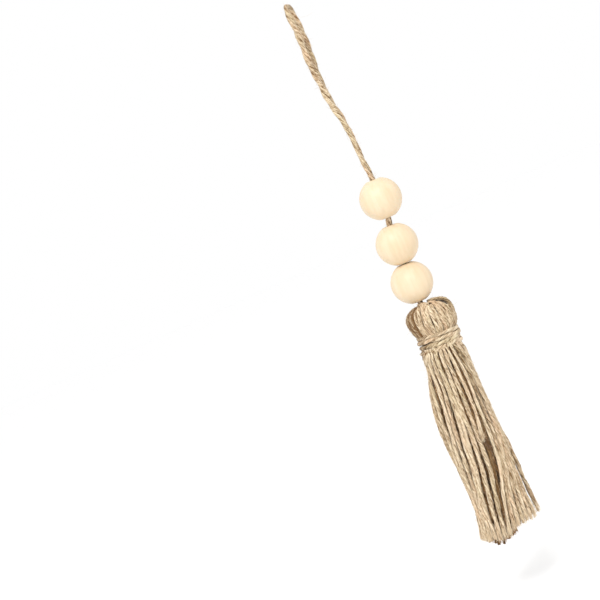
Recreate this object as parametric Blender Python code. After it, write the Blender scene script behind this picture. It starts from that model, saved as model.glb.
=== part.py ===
"""Jute tassel with three wooden beads, hanging from its own twine loop.

The origin is the hanging point, where a hook or nail bears on the inside of the loop's crown.
+Z is up, X runs to the right and -Y is the front. Lengths are in metres. A "drop" is a
distance below the hanging point, and a "depth" is a distance below the top of the tassel's head.
"""

import math
import random

import bmesh
import bpy
from mathutils import Vector

MM = 0.001
SEED = 5

# Two-ply jute twine, which makes the loop, the binding and the tassel
TWINE_RADIUS = 0.8 * MM
TWINE_CORNERS = 6
TWINE_WAIST = 0.62
TWIST_PITCH = 6.0 * MM
TWIST_RING_STEP = 1.0 * MM
LONGEST_TWIST_STEP = 1.6 * MM
CLEARANCE = 0.3 * MM

# Hanging loop: its crown, then its two legs side by side, in a plane turned about the hang line
CROWN_INNER_RADIUS = 2.3 * MM
CROWN_STEPS = 10
LEG_OFFSET = TWINE_RADIUS + CLEARANCE / 2
LOOP_TURN = math.radians(68)
# Columns: drop, sideways wander of the pair, half the distance between the legs' middles
LOOP_ROWS = (
    (CROWN_INNER_RADIUS, 0.0 * MM, CROWN_INNER_RADIUS + TWINE_RADIUS),
    (10.5 * MM, 0.35 * MM, 2.8 * MM),
    (20.0 * MM, -0.15 * MM, 2.7 * MM),
    (25.0 * MM, -0.35 * MM, 1.9 * MM),
    (30.0 * MM, -0.2 * MM, LEG_OFFSET),
    (38.0 * MM, 0.25 * MM, LEG_OFFSET),
    (46.0 * MM, 1.7 * MM, LEG_OFFSET),
    (53.0 * MM, 2.3 * MM, LEG_OFFSET),
    (62.0 * MM, 2.45 * MM, LEG_OFFSET),
    (70.8 * MM, 2.95 * MM, LEG_OFFSET),
)

# Wooden beads: 16 mm balls with flattened ends, bored for the two legs
BEAD_RADIUS = 8.0 * MM
BEAD_HALF_LENGTH = 7.5 * MM
BORE_RADIUS = 2.1 * MM
BORE_CHAMFER = 0.2 * MM
BEAD_SIDES = 24
BEAD_ARC_STEPS = 12
# Columns: name, drop of the middle, aside, lean as sideways travel over drop
BEAD_ROWS = (
    ("bead_upper", 78.3 * MM, 2.75 * MM, -0.03),
    ("bead_middle", 96.3 * MM, 1.4 * MM, -0.045),
    ("bead_lower", 111.6 * MM, 0.7 * MM, -0.03),
)

# Tassel: a bundle of twine folded over the loop's end. Its head is the fold, its skirt the cut ends.
TASSEL_DROP = 119.4 * MM
TASSEL_ASIDE = 2.45 * MM
TASSEL_LEAN = math.radians(3.2)
CORD_ENTRY = -1.95 * MM
DIMPLE_DEPTH = 1.8 * MM
TAIL_CLEARANCE = 0.6 * MM
NECK_RADIUS = 6.1 * MM
ROOT_DEPTH = 19.3 * MM

# Head: a ring of points for each row, with a groove and two flanks for each strand that shows
RIDGES = 32
RIDGE_UNEVENNESS = 0.15
# Columns: depth, radius, aside, depth of the grooves, rise of the right side over its reach
HEAD_ROWS = (
    (12.35 * MM, NECK_RADIUS, 0.0 * MM, 0.2 * MM, 0.0),
    (11.9 * MM, 7.2 * MM, 0.0 * MM, 0.3 * MM, 0.0),
    (11.7 * MM, 8.3 * MM, 0.0 * MM, 0.4 * MM, 0.0),
    (10.8 * MM, 8.8 * MM, 0.0 * MM, 0.5 * MM, 0.0),
    (8.6 * MM, 9.35 * MM, -0.2 * MM, 0.5 * MM, 0.01),
    (6.0 * MM, 9.45 * MM, -0.3 * MM, 0.5 * MM, 0.02),
    (3.8 * MM, 8.8 * MM, -0.2 * MM, 0.5 * MM, 0.03),
    (2.3 * MM, 7.6 * MM, 0.1 * MM, 0.5 * MM, 0.06),
    (1.2 * MM, 5.8 * MM, 0.2 * MM, 0.45 * MM, 0.09),
    (0.4 * MM, 4.3 * MM, -0.2 * MM, 0.35 * MM, 0.07),
    (0.1 * MM, 3.4 * MM, -1.3 * MM, 0.2 * MM, 0.02),
    (0.4 * MM, 2.6 * MM, CORD_ENTRY, 0.1 * MM, 0.0),
    (DIMPLE_DEPTH, 2.2 * MM, CORD_ENTRY, 0.0 * MM, 0.0),
)

# Binding: one length of twine wound round the neck, from the right side across the front
BINDING_RADIUS = NECK_RADIUS + CLEARANCE + TWINE_RADIUS
# Columns: turns made since the right side, depth
BINDING_ROWS = (
    (-0.02, 13.0 * MM),
    (0.5, 13.15 * MM),
    (1.0, 14.75 * MM),
    (1.5, 14.85 * MM),
    (2.0, 16.4 * MM),
    (2.5, 16.6 * MM),
    (3.0, 18.05 * MM),
    (3.58, 18.4 * MM),
)

# Skirt: each strand grows from its own cell of a grid that closes the neck
STRANDS_ACROSS = 9
ROOT_GAP = 0.24 * MM
FAN_DEPTHS = (20.3 * MM, 25.5 * MM)
FREE_STEPS = 5
SKIRT_END = 92.8 * MM
END_SLANT = 0.9 * MM
LONGEST_TRIM = 1.4 * MM
STRAND_WANDER = 0.17 * MM
CUT_SLANT = 0.3 * MM
# Columns: depth, outer radius of the skirt, aside
SKIRT_ROWS = (
    (ROOT_DEPTH, NECK_RADIUS, 0.0 * MM),
    (20.3 * MM, 8.4 * MM, -0.25 * MM),
    (25.5 * MM, 8.5 * MM, -0.15 * MM),
    (33.0 * MM, 9.6 * MM, -1.05 * MM),
    (42.0 * MM, 10.6 * MM, -1.6 * MM),
    (52.0 * MM, 11.0 * MM, -1.35 * MM),
    (64.0 * MM, 11.2 * MM, -0.1 * MM),
    (80.0 * MM, 11.3 * MM, 0.8 * MM),
    (SKIRT_END, 12.5 * MM, 0.4 * MM),
)

JUTE_COLOUR = (0.527, 0.402, 0.258, 1.0)
WOOD_COLOUR = (0.855, 0.723, 0.527, 1.0)


def clear_scene():
    for thing in list(bpy.data.objects):
        bpy.data.objects.remove(thing)


def material(name, colour, roughness):
    made = bpy.data.materials.new(name)
    made.use_nodes = True
    shader = made.node_tree.nodes["Principled BSDF"]
    shader.inputs["Base Color"].default_value = colour
    shader.inputs["Roughness"].default_value = roughness
    shader.inputs["Metallic"].default_value = 0.0
    return made


def link(name, data):
    thing = bpy.data.objects.new(name, data)
    bpy.context.scene.collection.objects.link(thing)
    return thing


def mesh_object(name, bm, finish):
    """The shape in bm as an object, with its faces turned outwards and shaded smooth."""
    bmesh.ops.recalc_face_normals(bm, faces=bm.faces)
    mesh = bpy.data.meshes.new(name)
    bm.to_mesh(mesh)
    bm.free()
    mesh.shade_smooth()
    mesh.set_sharp_from_angle(angle=math.radians(50))
    mesh.materials.append(finish)
    return link(name, mesh)


def eased(rows, place):
    """The columns after the first at a place in the first, on a smooth curve through the rows."""
    after = next(i for i in range(1, len(rows)) if place <= rows[i][0] or i == len(rows) - 1)
    before = rows[max(after - 2, 0)]
    low, high = rows[after - 1], rows[after]
    beyond = rows[min(after + 1, len(rows) - 1)]
    span = high[0] - low[0]
    t = (place - low[0]) / span
    values = []
    for column in range(1, len(low)):
        slope_in = (high[column] - before[column]) / (high[0] - before[0])
        slope_out = (beyond[column] - low[column]) / (beyond[0] - low[0])
        values.append(
            (2 * t**3 - 3 * t**2 + 1) * low[column]
            + (t**3 - 2 * t**2 + t) * span * slope_in
            + (3 * t**2 - 2 * t**3) * high[column]
            + (t**3 - t**2) * span * slope_out
        )
    return values


# Twine


def ply_section():
    """The outline of two plies side by side, which a twine's curve sweeps and turns."""
    outline = bpy.data.curves.new("ply_section", "CURVE")
    outline.dimensions = "2D"
    spline = outline.splines.new("POLY")
    spline.points.add(TWINE_CORNERS - 1)
    for i, point in enumerate(spline.points):
        reach = TWINE_RADIUS * (1.0 if i % (TWINE_CORNERS // 2) == 0 else TWINE_WAIST)
        angle = -math.tau * i / TWINE_CORNERS
        point.co = (reach * math.cos(angle), reach * math.sin(angle), 0.0, 1.0)
    spline.use_cyclic_u = True
    guide = link("ply_section", outline)
    guide.hide_render = True
    guide.display_type = "WIRE"
    return guide


def twine(name, route, section, finish):
    """Twine along a route. Its plies turn where the points are close, and run straight elsewhere."""
    curve = bpy.data.curves.new(name, "CURVE")
    curve.dimensions = "3D"
    curve.twist_mode = "MINIMUM"
    curve.bevel_mode = "OBJECT"
    curve.bevel_object = section
    curve.use_fill_caps = True
    curve.materials.append(finish)
    spline = curve.splines.new("POLY")
    spline.points.add(len(route) - 1)
    turned = 0.0
    for i, (point, place) in enumerate(zip(spline.points, route)):
        stride = (place - route[i - 1]).length if i else 0.0
        if stride < LONGEST_TWIST_STEP:
            turned -= math.tau * stride / TWIST_PITCH
        point.co = (*place, 1.0)
        point.tilt = turned
    return link(name, curve)


def beside(sign, drop, aside, offset):
    """A point of one of the loop's legs, from the pair's sideways wander and its spread."""
    across = sign * offset
    return Vector((aside + across * math.cos(LOOP_TURN), across * math.sin(LOOP_TURN), -drop))


def threaded_points(sign):
    """A leg's points from its tail in the head up through the beads, one at each end of each bore."""
    _, drop, aside, lean = BEAD_ROWS[-1]
    tail = TASSEL_DROP + DIMPLE_DEPTH - TAIL_CLEARANCE
    points = [beside(sign, tail, aside + lean * (tail - drop), LEG_OFFSET)]
    for _, drop, aside, lean in reversed(BEAD_ROWS):
        for reach in (BEAD_HALF_LENGTH, -BEAD_HALF_LENGTH):
            points.append(beside(sign, drop + reach, aside + lean * reach, LEG_OFFSET))
    return points


def with_strides(points):
    """The points, with a twist ring's step between neighbours wherever the twine lies open."""
    route = [points[0]]
    for last, place in zip(points, points[1:]):
        gap = (place - last).length
        strides = max(1, round(gap / TWIST_RING_STEP)) if gap < BEAD_HALF_LENGTH else 1
        route += [last.lerp(place, (i + 1) / strides) for i in range(strides)]
    return route


def loop_leg(sign):
    """A leg of the loop, from the head up to where the crown begins."""
    route = with_strides(threaded_points(sign))
    top, bottom = LOOP_ROWS[0][0], LOOP_ROWS[-1][0]
    steps = round((bottom - top) / TWIST_RING_STEP)
    for i in range(1, steps + 1):
        drop = bottom + (top - bottom) * i / steps
        route.append(beside(sign, drop, *eased(LOOP_ROWS, drop)))
    return route


def hanging_loop(section, finish):
    top, aside, arc_radius = LOOP_ROWS[0]
    crown = []
    for i in range(1, CROWN_STEPS):
        angle = math.pi * i / CROWN_STEPS
        drop = top - arc_radius * math.sin(angle)
        crown.append(beside(-1, drop, aside, arc_radius * math.cos(angle)))
    twine("hanging_loop", loop_leg(-1) + crown + loop_leg(1)[::-1], section, finish)


def place_on_tassel(thing):
    thing.location = (TASSEL_ASIDE, 0.0, -TASSEL_DROP)
    thing.rotation_euler.y = TASSEL_LEAN


def neck_binding(section, finish):
    first, last = BINDING_ROWS[0][0], BINDING_ROWS[-1][0]
    steps = round(math.tau * BINDING_RADIUS * (last - first) / TWIST_RING_STEP)
    route = []
    for i in range(steps + 1):
        turn = first + (last - first) * i / steps
        angle = -math.tau * turn
        depth = eased(BINDING_ROWS, turn)[0]
        route.append(Vector((BINDING_RADIUS * math.cos(angle), BINDING_RADIUS * math.sin(angle), -depth)))
    place_on_tassel(twine("neck_binding", route, section, finish))


# Beads


def bead_outline():
    """Half the section of a bead, from the lower mouth of its bore round its side to the upper one."""
    rim_angle = math.acos(BEAD_HALF_LENGTH / BEAD_RADIUS)
    outline = [
        (BORE_RADIUS, BORE_CHAMFER - BEAD_HALF_LENGTH),
        (BORE_RADIUS + BORE_CHAMFER, -BEAD_HALF_LENGTH),
    ]
    for i in range(BEAD_ARC_STEPS + 1):
        angle = math.pi - rim_angle + (2 * rim_angle - math.pi) * i / BEAD_ARC_STEPS
        outline.append((BEAD_RADIUS * math.sin(angle), BEAD_RADIUS * math.cos(angle)))
    outline.append((BORE_RADIUS + BORE_CHAMFER, BEAD_HALF_LENGTH))
    outline.append((BORE_RADIUS, BEAD_HALF_LENGTH - BORE_CHAMFER))
    return outline


def bead(name, finish):
    """A ball with flat ends and a bore down its Z axis, spun from half its section."""
    bm = bmesh.new()
    corners = [bm.verts.new((reach, 0.0, height)) for reach, height in bead_outline()]
    edges = [bm.edges.new((a, b)) for a, b in zip(corners, corners[1:] + corners[:1])]
    bmesh.ops.spin(
        bm,
        geom=corners + edges,
        cent=(0.0, 0.0, 0.0),
        axis=(0.0, 0.0, 1.0),
        angle=math.tau,
        steps=BEAD_SIDES,
        use_merge=True,
    )
    return mesh_object(name, bm, finish)


def string_beads(finish):
    for name, drop, aside, lean in BEAD_ROWS:
        made = bead(name, finish)
        made.location = (aside, 0.0, -drop)
        made.rotation_euler.y = -math.atan(lean)


# Tassel


def root_grid(bm):
    """A grid of square cells pressed ring by ring into the neck's round, so that all have one area."""
    bmesh.ops.create_grid(bm, x_segments=STRANDS_ACROSS, y_segments=STRANDS_ACROSS, size=1.0)
    for vert in bm.verts:
        u, v = vert.co.x, vert.co.y
        if abs(u) >= abs(v):
            angle = math.pi / 4 * v / u + (math.pi if u < 0 else 0.0)
        else:
            angle = math.pi / 2 - math.pi / 4 * u / v + (math.pi if v < 0 else 0.0)
        reach = NECK_RADIUS * max(abs(u), abs(v))
        vert.co = (reach * math.cos(angle), reach * math.sin(angle), -ROOT_DEPTH)
    return list(bm.faces)


def ridge_points(rng):
    """Round the head: each point's angle, its share of a groove's depth, and how proud its strand lies."""
    width = math.tau / RIDGES
    points = []
    for i in range(RIDGES):
        start = width * (i + rng.uniform(-RIDGE_UNEVENNESS, RIDGE_UNEVENNESS))
        pride = rng.uniform(-RIDGE_UNEVENNESS, RIDGE_UNEVENNESS) * 2
        points += [(start, 1.0, 0.0), (start + width / 3, 0.0, pride), (start + width * 2 / 3, 0.0, pride)]
    return points


def grow_head(bm, rng):
    """Closes the neck's rim upwards, ring by ring, over the head and down into the loop's dimple."""
    rim = [edge for edge in bm.edges if edge.is_boundary]
    points = ridge_points(rng)
    below = []
    for depth, radius, aside, groove, rise in HEAD_ROWS:
        ring = []
        for angle, groove_share, pride in points:
            reach = radius - groove * (groove_share - pride)
            across = reach * math.cos(angle)
            place = (aside + across, reach * math.sin(angle), rise * across - depth)
            ring.append(bm.verts.new(place))
        if below:
            for i in range(len(ring)):
                bm.faces.new((below[i - 1], below[i], ring[i], ring[i - 1]))
        else:
            first = [bm.edges.new((a, b)) for a, b in zip(ring, ring[1:] + ring[:1])]
            bmesh.ops.bridge_loops(bm, edges=rim + first)
        below = ring
    bm.faces.new(below)


def strand_depths(home, rng):
    """Where a strand's section is set: twice as it fans out of the binding, then evenly to its cut end."""
    end = SKIRT_END - END_SLANT * (1 + home.x / NECK_RADIUS) - rng.uniform(0.0, LONGEST_TRIM)
    fanned = FAN_DEPTHS[-1]
    return list(FAN_DEPTHS) + [fanned + (end - fanned) * (i + 1) / FREE_STEPS for i in range(FREE_STEPS)]


def grow_strand(bm, cell, rng):
    """Extrudes a strand down from its cell, widening and standing apart as the skirt widens."""
    home = cell.calc_center_median()
    corners = [vert.co - home for vert in cell.verts]
    for depth in strand_depths(home, rng):
        cell = bmesh.ops.extrude_discrete_faces(bm, faces=[cell])["faces"][0]
        radius, aside = eased(SKIRT_ROWS, depth)
        spread = radius / NECK_RADIUS
        sway = STRAND_WANDER if depth > FAN_DEPTHS[-1] else 0.0
        middle = Vector((
            home.x * spread + aside + rng.uniform(-sway, sway),
            home.y * spread + rng.uniform(-sway, sway),
            -depth,
        ))
        for vert, corner in zip(cell.verts, corners):
            vert.co = middle + corner * spread
    for vert in cell.verts:
        vert.co.z += rng.uniform(-CUT_SLANT, CUT_SLANT)


def tassel(finish):
    rng = random.Random(SEED)
    bm = bmesh.new()
    cells = root_grid(bm)
    grow_head(bm, rng)
    bmesh.ops.inset_individual(bm, faces=cells, thickness=ROOT_GAP / 2, use_even_offset=True)
    for cell in cells:
        grow_strand(bm, cell, rng)
    place_on_tassel(mesh_object("tassel", bm, finish))


def main():
    clear_scene()
    jute = material("jute_twine", JUTE_COLOUR, 0.9)
    wood = material("bead_wood", WOOD_COLOUR, 0.5)
    section = ply_section()
    hanging_loop(section, jute)
    string_beads(wood)
    tassel(jute)
    neck_binding(section, jute)


main()
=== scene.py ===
"""Looks of a jute tassel with three wooden beads, which hangs from its own twine loop.

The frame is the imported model. All lengths are in metres. A "drop" is a distance below the hanging
point, and a "depth" is a distance below the top of the tassel's head.
"""

import math
import random

import bmesh
import bpy
import numpy as np
from mathutils import Matrix, Vector, noise

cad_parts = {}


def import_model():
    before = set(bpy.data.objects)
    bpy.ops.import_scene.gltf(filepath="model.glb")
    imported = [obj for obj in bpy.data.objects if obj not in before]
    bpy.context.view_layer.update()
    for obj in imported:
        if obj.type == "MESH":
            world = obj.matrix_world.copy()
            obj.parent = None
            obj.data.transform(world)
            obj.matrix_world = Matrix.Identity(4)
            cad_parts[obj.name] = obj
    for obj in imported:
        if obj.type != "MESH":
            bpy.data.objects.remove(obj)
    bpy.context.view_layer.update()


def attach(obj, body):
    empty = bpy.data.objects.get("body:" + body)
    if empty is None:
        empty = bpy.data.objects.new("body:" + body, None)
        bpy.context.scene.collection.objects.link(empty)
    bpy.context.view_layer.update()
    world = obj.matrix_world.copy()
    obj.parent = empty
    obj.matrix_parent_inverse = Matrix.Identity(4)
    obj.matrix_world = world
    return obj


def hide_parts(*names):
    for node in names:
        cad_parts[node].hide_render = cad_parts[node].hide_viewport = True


MM = 0.001
SEED = 11
SWAY_SEED = 1795487573  # for the strands' crimp and sway, whose noise otherwise starts from the clock

# Hanging loop, as in the solids
TWINE_RADIUS = 0.8 * MM
CLEARANCE = 0.3 * MM
CROWN_INNER_RADIUS = 2.3 * MM
CROWN_STEPS = 12
LEG_STEPS = 30
LEG_OFFSET = TWINE_RADIUS + CLEARANCE / 2
LOOP_TURN = math.radians(68)
LOOP_ROWS = (  # drop, sideways wander of the pair, half the distance between the legs' middles
    (CROWN_INNER_RADIUS, 0.0 * MM, CROWN_INNER_RADIUS + TWINE_RADIUS),
    (10.5 * MM, 0.35 * MM, 2.8 * MM),
    (20.0 * MM, -0.15 * MM, 2.7 * MM),
    (25.0 * MM, -0.35 * MM, 1.9 * MM),
    (30.0 * MM, -0.2 * MM, LEG_OFFSET),
    (38.0 * MM, 0.25 * MM, LEG_OFFSET),
    (46.0 * MM, 1.7 * MM, LEG_OFFSET),
    (53.0 * MM, 2.3 * MM, LEG_OFFSET),
    (62.0 * MM, 2.45 * MM, LEG_OFFSET),
    (70.8 * MM, 2.95 * MM, LEG_OFFSET),
)

# Beads, as in the solids
BEAD_RADIUS = 8.0 * MM
BEAD_HALF_LENGTH = 7.5 * MM
BORE_RADIUS = 2.1 * MM
BORE_CHAMFER = 0.2 * MM
BEAD_SIDES = 64
BEAD_ARC_STEPS = 30
BEAD_EDGE = math.radians(35)  # the sharp rims of the flats and of the bore
BEAD_ROWS = (  # name, drop of the middle, aside, lean as sideways travel over drop
    ("bead_upper", 78.3 * MM, 2.75 * MM, -0.03),
    ("bead_middle", 96.3 * MM, 1.4 * MM, -0.045),
    ("bead_lower", 111.6 * MM, 0.7 * MM, -0.03),
)

# Tassel, as in the solids, but for the skirt's first two rows, which are fuller under the binding
TASSEL_DROP = 119.4 * MM
TASSEL_ASIDE = 2.45 * MM
TASSEL_LEAN = math.radians(3.2)
CORD_ENTRY = -1.95 * MM
DIMPLE_DEPTH = 1.8 * MM
TAIL_CLEARANCE = 0.6 * MM
NECK_RADIUS = 6.1 * MM
ROOT_DEPTH = 19.3 * MM
SKIRT_END = 92.8 * MM
SKIRT_ROWS = (  # depth, outer radius of the skirt, aside
    (ROOT_DEPTH, 7.9 * MM, -0.3 * MM),
    (20.3 * MM, 8.5 * MM, -0.5 * MM),
    (25.5 * MM, 8.5 * MM, -0.15 * MM),
    (33.0 * MM, 9.6 * MM, -1.05 * MM),
    (42.0 * MM, 10.6 * MM, -1.6 * MM),
    (52.0 * MM, 11.0 * MM, -1.35 * MM),
    (64.0 * MM, 11.2 * MM, -0.1 * MM),
    (80.0 * MM, 11.3 * MM, 0.8 * MM),
    (SKIRT_END, 12.5 * MM, 0.4 * MM),
)

# Outside of the head's strands, from under the binding up into the loop's dimple
HEAD_ROWS = (  # depth, radius, aside, rise of the right side over its reach
    (14.0 * MM, 6.6 * MM, 0.0 * MM, 0.0),
    (12.9 * MM, 7.7 * MM, 0.0 * MM, 0.0),
    (11.9 * MM, 8.45 * MM, 0.0 * MM, 0.0),
    (10.8 * MM, 8.7 * MM, 0.1 * MM, 0.0),
    (8.6 * MM, 9.25 * MM, -0.2 * MM, 0.01),
    (6.0 * MM, 9.4 * MM, -0.3 * MM, 0.02),
    (3.8 * MM, 8.75 * MM, -0.35 * MM, 0.03),
    (2.3 * MM, 7.7 * MM, -0.2 * MM, 0.05),
    (1.3 * MM, 6.1 * MM, -0.1 * MM, 0.07),
    (0.6 * MM, 4.1 * MM, 0.0 * MM, 0.06),
    (0.3 * MM, 3.0 * MM, -0.9 * MM, 0.02),
    (0.6 * MM, 2.3 * MM, -1.7 * MM, 0.0),
    (DIMPLE_DEPTH, 2.2 * MM, CORD_ENTRY, 0.0),
)
HEAD_STEPS = 30
HEAD_STRAND_RADII = (0.8 * MM, 0.88 * MM)
HEAD_STRAND_PITCH = (16, 24)  # mm
HEAD_RELIEF = 0.13 * MM
HEAD_WANDER = 0.07  # radians
# The strands thin out by this share where they crowd together, from this share of their length on
CROWDING = 0.3
CROWDING_START = 0.45
# Those that stop short of the top dive under the others, from this share of the way up
DIVE = 1.3 * MM
DIVE_START = 0.8
# Those that lean back do so between these rows, counted from the neck up
LEANING_ROWS = (5.6, 10.0)
# Strands on the head's front. Columns: degrees round from the right, tone, standing proud in mm, rows
# short of the top, degrees that its top leans back to the right. The low tones of the strands at the
# left, from -142 degrees round, are painted shade.
HEAD_FRONT = (
    (-4, 0.45, 0.25, 0.6, -30),
    (-14, 0.45, -0.05, 6.6, 0),
    (-25, 0.4, 0.0, 5.9, -4),
    (-41, 0.5, 0.0, 4.6, -5),
    (-49, 0.55, 0.1, 3.3, -5),
    (-62, 0.6, 0.15, 1.8, 0),
    (-68, 0.65, 0.1, 1.6, 0),
    (-80, 0.65, 0.1, 3.4, 0),
    (-89.5, 0.8, 0.1, 1.8, 0),
    (-101, 0.8, 0.1, 0.9, 0),
    (-112, 0.7, 0.1, 0.5, 0),
    (-124.5, 0.6, 0.0, 0.8, 0),
    (-133, 0.4, 0.0, 1.2, 0),
    # Painted shade: the strands from here round to the left are toned dark brown
    (-142, -0.5, 0.0, 2.0, 0),
    (-150, 0.1, 0.1, 2.2, 0),
    (-158, -0.5, 0.1, 2.8, 0),
    (-167, 0.0, 0.1, 2.2, 0),
    (-178, -0.2, 0.05, 3.0, 0),
)
HEAD_BACK_STRANDS = 17
HEAD_BACK_DEGREES = (8, 168)  # where the first lies, and how far round they go
HEAD_BACK_TONES = (0.2, 0.8)
# Rows short of the top, in turn: for the strands at the right, up to so many degrees, and for the rest
RIGHT_SHORT = (0.4, 2.9, 2.0, 3.2)
RIGHT_END_DEGREES = 50
BACK_SHORT = (2.4, 3.2)
# The strands between these degrees lie lower by this, in mm
BACK_HOLLOW_DEGREES = (50, 125)
BACK_HOLLOW = 0.2
# The core, so far under the head's outside, and down into the skirt's root
CORE_SIDES = 48
HEAD_CORE_INSET = 1.3 * MM
NECK_CORE_RADIUS = 6.3 * MM
NECK_CORE_END = 20.4 * MM

BINDING_ROWS = (  # turns made since the right side, depth, radius of the turn
    (-0.07, 13.5 * MM, 7.0 * MM),
    (0.0, 13.6 * MM, 7.2 * MM),
    (0.15, 13.3 * MM, 7.35 * MM),
    (0.25, 12.95 * MM, 7.2 * MM),
    (0.38, 12.95 * MM, 7.15 * MM),
    (0.5, 13.2 * MM, 7.25 * MM),
    (0.75, 14.1 * MM, 7.2 * MM),
    (1.0, 15.2 * MM, 7.7 * MM),
    (1.12, 15.2 * MM, 7.4 * MM),
    (1.25, 14.75 * MM, 7.25 * MM),
    (1.38, 14.4 * MM, 7.2 * MM),
    (1.5, 14.9 * MM, 7.7 * MM),
    (1.75, 15.8 * MM, 7.2 * MM),
    (2.0, 16.85 * MM, 6.9 * MM),
    (2.12, 16.4 * MM, 7.3 * MM),
    (2.25, 16.55 * MM, 7.2 * MM),
    (2.38, 16.5 * MM, 7.2 * MM),
    (2.5, 16.95 * MM, 7.4 * MM),
    (2.75, 17.4 * MM, 7.2 * MM),
    (3.0, 18.4 * MM, 7.4 * MM),
    (3.12, 17.8 * MM, 7.3 * MM),
    (3.25, 18.2 * MM, 7.35 * MM),
    (3.38, 18.6 * MM, 7.5 * MM),
    (3.5, 19.05 * MM, 8.05 * MM),
    (3.58, 19.3 * MM, 7.6 * MM),
)
BINDING_RADIUS = 0.95 * MM
BINDING_PITCH = 12.0 * MM
BINDING_RELIEF = 0.17 * MM
# Painted light and shade: the binding's middle tone, and the angle round the neck, in radians, where it
# is coloured lightest, front right; it is coloured darkest at the back left
BINDING_TONE = 0.55
BINDING_PAINTED_LIGHTEST = -0.7

# Strands on the skirt's front. Columns in mm but for the first: tone, standing proud, thickness, depth
# of the cut end, then how far to the right the strand lies at each of these depths
FRONT_DEPTHS = (20.5, 31.0, 43.0, 54.5, 66.0, 77.5, 88.5)
FRONT_STRANDS = (
    (0.6, 0.0, 1.5, 91.4, -8.0, -10.4, -11.9, -12.1, -11.2, -10.6, -11.8),
    (0.9, 0.0, 1.45, 92.0, -7.5, -9.15, -10.2, -10.4, -10.2, -10.0, -11.0),
    (1.05, 0.1, 1.5, 92.3, -6.9, -7.3, -8.1, -9.1, -9.5, -9.3, -10.2),
    (0.8, 0.0, 1.4, 92.2, -5.7, -5.7, -6.7, -7.6, -7.8, -8.4, -9.3),
    (0.9, 0.25, 1.45, 92.5, -4.1, -4.1, -4.7, -5.6, -6.1, -7.5, -8.3),
    (0.95, 0.1, 1.4, 92.0, -4.4, -3.9, -3.4, -4.4, -5.2, -6.6, -6.9),
    (0.85, 0.1, 1.55, 92.6, -2.2, -2.2, -2.3, -2.2, -2.9, -4.15, -5.1),
    (0.75, 0.0, 1.5, 92.0, -0.6, -0.4, -0.1, -0.1, -0.2, -1.7, -3.1),
    (0.9, 0.4, 1.25, 55.4, 0.9, 1.7, 2.2, 1.3, 0.6, 0.0, -1.0),
    # Painted shade: this recessed strand is toned dark brown, where the skirt has a shaded hollow
    (-0.6, -0.8, 1.5, 91.0, 1.9, 2.7, 3.1, 2.7, 1.2, -0.2, -1.2),
    (1.0, 0.4, 1.15, 91.6, 2.6, 3.9, 4.0, 4.3, 3.7, 1.0, -1.0),
    (0.5, -0.1, 1.5, 90.2, 4.2, 5.3, 5.6, 5.8, 4.6, 2.6, 0.9),
    (0.85, 0.1, 1.5, 89.7, 5.6, 6.6, 7.2, 7.3, 5.8, 3.8, 2.9),
    (0.65, -0.1, 1.4, 89.6, 6.6, 7.4, 7.9, 8.1, 7.0, 5.4, 4.6),
    (0.75, 0.0, 1.45, 89.3, 7.0, 7.7, 8.2, 8.4, 7.8, 6.8, 6.3),
    (0.7, 0.0, 1.4, 89.6, 7.2, 7.8, 8.3, 8.7, 8.3, 8.0, 7.9),
    (0.75, 0.0, 1.45, 89.8, 7.4, 7.9, 8.4, 9.1, 8.75, 9.05, 9.5),
    (0.5, 0.0, 1.55, 90.0, 7.6, 8.0, 8.45, 9.75, 10.5, 11.05, 11.9),
    (0.6, -0.15, 1.5, 91.7, -7.8, -9.85, -11.15, -11.35, -10.75, -10.35, -11.45),
)
# How far left the strands at the middle of the front drift by the skirt's end
FRONT_DRIFT = 0.55 * MM
# Rings of strands that aren't laid one by one: the skirt's back, the layer under its outside, and the
# inside, whose columns are the share of the skirt's radius and the number of strands
BACK_STRANDS = 24
BACK_SHARE = 0.97
BACK_START = math.radians(-5)
BACK_SWEEP = math.radians(198)
UNDER_STRANDS = 32
UNDER_SHARE = 0.86
INNER_RINGS = ((0.0, 1), (0.28, 8), (0.5, 15), (0.7, 23))
INNER_START = 0.3
# The strand furthest right stands off from the others, which reach no further than this
SLIT_ROWS = (  # depth, place across
    (58.0 * MM, 13.5 * MM),
    (63.0 * MM, 10.5 * MM),
    (68.0 * MM, 9.7 * MM),
    (76.0 * MM, 9.95 * MM),
    (84.0 * MM, 10.2 * MM),
    (SKIRT_END, 10.6 * MM),
)
CUT_ROWS = (  # place across, depth of the cut
    (-12.5 * MM, 91.6 * MM),
    (-9.0 * MM, 94.0 * MM),
    (-3.5 * MM, 94.4 * MM),
    (0.0 * MM, 93.0 * MM),
    (3.0 * MM, 90.4 * MM),
    (6.0 * MM, 89.2 * MM),
    (13.0 * MM, 88.6 * MM),
)
UNEVEN_CUT = 1.5 * MM

# Twine: how it is stepped along its line, how it twists and how rough it is
RING_STEP = 0.5 * MM
SKIRT_STEP = 0.6 * MM
FIBRE_TURN_SHARE = 0.4
STRAND_UNEVENNESS = 0.14
TWINE_RELIEF = 0.07 * MM
SMOOTH_BELOW = math.radians(70)
# Each run starts anywhere in so many millimetres of yarn, so that no two look alike
LAY_STARTS = 400
# The groove between the plies begins and is deepest at these shares of the twine's radius
GROOVE_TOP = 0.85
GROOVE_BOTTOM = 0.35
# Coarse fibres raised on the surface: marks to the mm across the twine and along it, share of the relief
RAISED_FIBRES = ((2.2, 0.2, 1.0), (3.0, 0.5, 0.9))
LOOP_PITCH = 15.0 * MM
LOOP_LOOKS = (  # drop, radius of the twine, its tone. It has come untwisted towards the top.
    (0.0 * MM, 0.95 * MM, 0.6),
    (6.0 * MM, 1.25 * MM, 0.7),
    (18.0 * MM, 1.3 * MM, 0.6),
    (26.0 * MM, 1.2 * MM, 0.6),
    (38.0 * MM, 1.2 * MM, 0.75),
    (44.0 * MM, 1.1 * MM, 0.75),
    (51.0 * MM, 0.88 * MM, 0.75),
    (70.0 * MM, 0.88 * MM, 0.75),
)
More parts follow.
